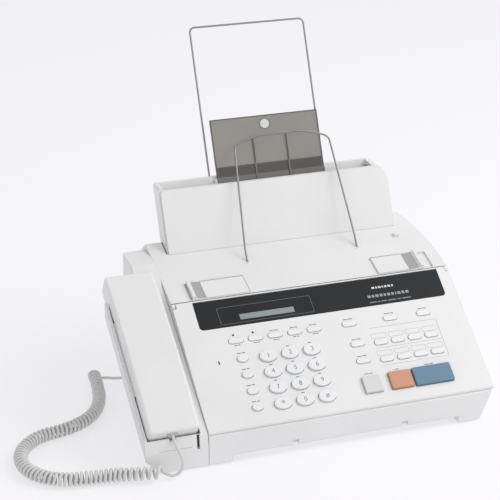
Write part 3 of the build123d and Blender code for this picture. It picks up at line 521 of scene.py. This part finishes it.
def add_strip_details(materials):
    panel = slope_matrix(PANEL_SLOPE)
    window = bmesh.new()
    add_frame(window, (41.5, 136.0), (109.0, 127.7), PRINT_AND_SHADE_LIFT, 0.35, 1.5)
    piece("display_frame", window, panel, materials, "dark_strip", "panel", "grey_print_and_shade")
    for name, looks, rows in (
        ("strip_name", "print_white", ((200.5, 124.6, 2.2, (2.8, 1.6, 2.6, 1.4, 2.4, 2.6, 1.8)),)),
        ("strip_small_print", "pale_print_and_shade", (
            (193.4, 115.0, 3.0, (3.2, 2.4, 3.4, 3.0, 2.4, 3.2, 2.6, 1.2, 3.4, 2.8, 3.2)),
            (193.7, 109.4, 0.9, (7.0, 2.6, 6.0, 8.4, 4.0, 9.0)),
        )),
    ):
        words = bmesh.new()
        for left, u, height, widths in rows:
            for width in widths:
                add_tile(words, (left, left + width), (u, u + height), PRINT_AND_SHADE_LIFT, 0.3)
                left += width + 1.25
        piece(name, words, panel, materials, "dark_strip", "panel", looks)
    glass = bmesh.new()
    add_tile(glass, (61.9, 116.6), (112.3, 118.1), (-0.38, -0.12), 0.3)
    piece("display_glass", glass, panel, materials, "lcd_glass", "panel")
    cells = bmesh.new()
    for i in range(16):
        x = 64.0 + i * 3.2
        add_frame(cells, (x, x + 2.5), (113.3, 117.1), (-0.12, -0.10), 0.12, 0.1)
    piece("display_cells", cells, panel, materials, "lcd_glass", "panel", "grey_print_and_shade")


# ---- other small details ------------------------------------------------------------------------

def add_rest_details(materials):
    """The paper rest's dark edges and ribs, its pale disc and the shade at its foot."""
    hopper = slope_matrix(HOPPER_SLOPE, *HOPPER_START)
    low, high, top = -3.0, 55.0, 5.8
    edges = bmesh.new()
    add_frame(edges, (82.5, 197.0), (low, high), (top, top + 0.06), 1.1, 1.2)
    # Painted shade: the dark band at the rest's foot, where the slot behind it lies in shadow.
    add_tile(edges, (83.8, 195.7), (low + 1.3, 7.0), (top, top + 0.05), 0.3)
    for x in (124.5, 160.0):
        add_tile(edges, (x - 0.75, x + 0.75), (7.2, 33.8), (top + 1.0, top + 1.06), 0.3)
    piece("paper_rest_edges_and_foot_shade", edges, hopper, materials, "smoked_plastic", "paper_rest", "smoked_edge_and_foot_shade")
    disc = bmesh.new()
    add_disc(disc, 139.5, 46.0, (6.4, 6.46), 4.6)
    piece("paper_rest_disc", disc, hopper, materials, "smoked_plastic", "paper_rest", "print_white")


def add_ramp_shade(shape, x, w, u=(3.0, 27.0)):
    """A thin skin of painted shade on a ramp that falls from one side to the other."""
    rings = []
    for lift in (0.03, 0.1):
        places = ((x[0], u[0], w[0]), (x[0], u[1], w[0]), (x[1], u[1], w[1]), (x[1], u[0], w[1]))
        rings.append([shape.verts.new((a, b, c + lift)) for a, b, c in places])
    for ring in rings:
        shape.faces.new(ring)
    for i in range(4):
        j = (i + 1) % 4
        shape.faces.new((rings[0][i], rings[0][j], rings[1][j], rings[1][i]))


def add_guide_details(materials):
    """Painted shade on the document guides: grey on their ramps, and dark lines along the rear edges and
    inner ends of their plates.
    """
    cover = slope_matrix(COVER_SLOPE, *COVER_START)
    plate_top = (1.3, 1.34)
    for side, shade_x, shade_w, plate_x, end_x in (
        ("left", (25.9, 35.3), (1.74, 0.66), (35.7, 79.8), (79.2, 79.8)),
        ("right", (246.2, 257.8), (0.66, 1.74), (213.2, 245.8), (213.0, 213.6)),
    ):
        ramp_shade = bmesh.new()
        # Painted shade: a grey skin over the ramp.
        add_ramp_shade(ramp_shade, shade_x, shade_w)
        piece(f"guide_{side}_grip", ramp_shade, cover, materials, "body_plastic", f"guide_{side}", "guide_ramp_shade")
        lines = bmesh.new()
        # Painted shade: dark lines along the plate's rear edge and inner end.
        add_tile(lines, plate_x, (26.1, 27.1), plate_top, 0.1)
        add_tile(lines, end_x, (3.2, 26.0), plate_top, 0.1)
        piece(f"guide_{side}_edge", lines, cover, materials, "body_plastic", f"guide_{side}", "pale_print_and_shade")


def add_painted_gap_shade(materials):
    """Painted shade: the dark slit in the notch and the line along the crease on the cradle's front, and the
    gap along the hopper's left foot.
    """
    # Each mark is a thin dark strip of painted shade, put where a slit, a crease or a gap lies in shadow.
    marks = (
        ("cradle_notch_shade", (pi / 2, *NOTCH_START), (-11.1, -8.7), (20.2, 33.0), (0.02, 0.08), 0.3),
        ("cradle_crease_shade", (CRADLE_SLOPE, *CRADLE_START), (-47.0, -15.6), (1.0, 1.3), PRINT_AND_SHADE_LIFT, 0.1),
        ("hopper_foot_gap_shade", (COVER_SLOPE, *COVER_START), (16.2, 17.4), (73.0, 91.5), PRINT_AND_SHADE_LIFT, 0.2),
    )
    rides = (("chassis", "dark_lamp_and_hole_shade"), ("chassis", "pale_print_and_shade"), ("cover", "grey_print_and_shade"))
    for (name, slope, x, u, w, radius), (body, looks) in zip(marks, rides):
        mark = bmesh.new()
        add_tile(mark, x, u, w, radius)
        piece(name, mark, slope_matrix(*slope), materials, "body_plastic", body, looks)


def add_handset_details(materials):
    """Painted shade for the sound holes under both ends of the handset: dark discs, no holes cut."""
    matrix = slope_matrix(HANDSET_SLOPE)
    middle_x, under, radius = -32.0, (-12.06, -12.0), 0.9
    holes = bmesh.new()
    for centre in (22.0, 162.0):
        add_disc(holes, middle_x, centre, under, radius)
        for ring, count in ((4.0, 6), (8.0, 12)):
            for i in range(count):
                a = 2 * pi * i / count
                add_disc(holes, middle_x + ring * cos(a), centre + ring * sin(a), under, radius, segments=10)
    piece("handset_sound_hole_shade", holes, matrix, materials, "dark_strip", "handset", "dark_lamp_and_hole_shade")


# ---- build --------------------------------------------------------------------------------------

add_camera()
add_studio()
materials = make_materials()
paint_cad(materials)
add_cord(materials)
add_panel_printing(materials)
add_strip_details(materials)
add_rest_details(materials)
add_guide_details(materials)
add_painted_gap_shade(materials)
add_handset_details(materials)
